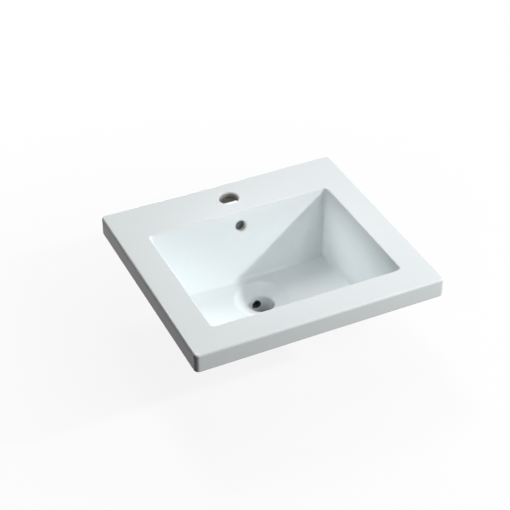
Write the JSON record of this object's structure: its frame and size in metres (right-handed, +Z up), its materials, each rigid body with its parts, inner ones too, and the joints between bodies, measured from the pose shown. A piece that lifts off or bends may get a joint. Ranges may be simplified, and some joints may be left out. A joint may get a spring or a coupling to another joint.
{
  "type": "inset ceramic washbasin",
  "caption": "Rectangular glazed ceramic basin with a flat deck, tap hole, overflow with a rear channel to the outlet, and clamps beneath that hold it in a worktop.",
  "frame": {"origin": "middle of the slab's plan, on the surface of the worktop that the rim seal rests on", "axes": "+X to the user's right, +Y towards the wall, +Z up"},
  "size_m": [0.466, 0.426, 0.191],
  "materials": {
    "vitreous_china": "gloss glaze",
    "seal_rubber": "matt",
    "plug_nylon": "moulded",
    "plated_steel": "zinc plated",
    "cast_zinc": "as cast"
  },
  "bodies": {
    "basin": {"basin_casting": "vitreous_china", "overflow_channel": "vitreous_china", "rim_seal": "seal_rubber", "fixing_inserts": "plug_nylon", "fixing_studs": "plated_steel"},
    "clamp_carrier_front_left": {"clamp_washer_front_left": "plated_steel"},
    "clamp_jaw_front_left": {"clamp_arm_front_left": "cast_zinc", "clamp_pad_front_left": "seal_rubber"},
    "clamp_nut_front_left": {"wing_nut_front_left": "plated_steel"},
    "clamp_carrier_front_right": {"clamp_washer_front_right": "plated_steel"},
    "clamp_jaw_front_right": {"clamp_arm_front_right": "cast_zinc", "clamp_pad_front_right": "seal_rubber"},
    "clamp_nut_front_right": {"wing_nut_front_right": "plated_steel"},
    "clamp_carrier_back_left": {"clamp_washer_back_left": "plated_steel"},
    "clamp_jaw_back_left": {"clamp_arm_back_left": "cast_zinc", "clamp_pad_back_left": "seal_rubber"},
    "clamp_nut_back_left": {"wing_nut_back_left": "plated_steel"},
    "clamp_carrier_back_right": {"clamp_washer_back_right": "plated_steel"},
    "clamp_jaw_back_right": {"clamp_arm_back_right": "cast_zinc", "clamp_pad_back_right": "seal_rubber"},
    "clamp_nut_back_right": {"wing_nut_back_right": "plated_steel"}
  },
  "joints": [
    {"name": "clamp_lift_front_left", "type": "slide", "parent": "basin", "child": "clamp_carrier_front_left", "axis": [0, 0, 1], "range_m": [0, 0.012]},
    {"name": "clamp_swing_front_left", "type": "hinge", "parent": "clamp_carrier_front_left", "child": "clamp_jaw_front_left", "pos_m": [-0.199, -0.11, -0.027], "axis": [0, 0, 1], "range_deg": [0, 90]},
    {"name": "nut_turn_front_left", "type": "hinge", "parent": "clamp_carrier_front_left", "child": "clamp_nut_front_left", "pos_m": [-0.199, -0.11, -0.039], "axis": [0, 0, 1], "range_deg": [0, 4320]},
    {"name": "clamp_lift_front_right", "type": "slide", "parent": "basin", "child": "clamp_carrier_front_right", "axis": [0, 0, 1], "range_m": [0, 0.012]},
    {"name": "clamp_swing_front_right", "type": "hinge", "parent": "clamp_carrier_front_right", "child": "clamp_jaw_front_right", "pos_m": [0.199, -0.11, -0.027], "axis": [0, 0, -1], "range_deg": [0, 90]},
    {"name": "nut_turn_front_right", "type": "hinge", "parent": "clamp_carrier_front_right", "child": "clamp_nut_front_right", "pos_m": [0.199, -0.11, -0.039], "axis": [0, 0, 1], "range_deg": [0, 4320]},
    {"name": "clamp_lift_back_left", "type": "slide", "parent": "basin", "child": "clamp_carrier_back_left", "axis": [0, 0, 1], "range_m": [0, 0.012]},
    {"name": "clamp_swing_back_left", "type": "hinge", "parent": "clamp_carrier_back_left", "child": "clamp_jaw_back_left", "pos_m": [-0.199, 0.11, -0.027], "axis": [0, 0, -1], "range_deg": [0, 90]},
    {"name": "nut_turn_back_left", "type": "hinge", "parent": "clamp_carrier_back_left", "child": "clamp_nut_back_left", "pos_m": [-0.199, 0.11, -0.039], "axis": [0, 0, 1], "range_deg": [0, 4320]},
    {"name": "clamp_lift_back_right", "type": "slide", "parent": "basin", "child": "clamp_carrier_back_right", "axis": [0, 0, 1], "range_m": [0, 0.012]},
    {"name": "clamp_swing_back_right", "type": "hinge", "parent": "clamp_carrier_back_right", "child": "clamp_jaw_back_right", "pos_m": [0.199, 0.11, -0.027], "axis": [0, 0, 1], "range_deg": [0, 90]},
    {"name": "nut_turn_back_right", "type": "hinge", "parent": "clamp_carrier_back_right", "child": "clamp_nut_back_right", "pos_m": [0.199, 0.11, -0.039], "axis": [0, 0, 1], "range_deg": [0, 4320]}
  ],
  "couplings": [
    {"joint": "clamp_lift_front_left", "follows": "nut_turn_front_left", "m_per_rad": 0.00015915},
    {"joint": "clamp_lift_front_right", "follows": "nut_turn_front_right", "m_per_rad": 0.00015915},
    {"joint": "clamp_lift_back_left", "follows": "nut_turn_back_left", "m_per_rad": 0.00015915},
    {"joint": "clamp_lift_back_right", "follows": "nut_turn_back_right", "m_per_rad": 0.00015915}
  ]
}
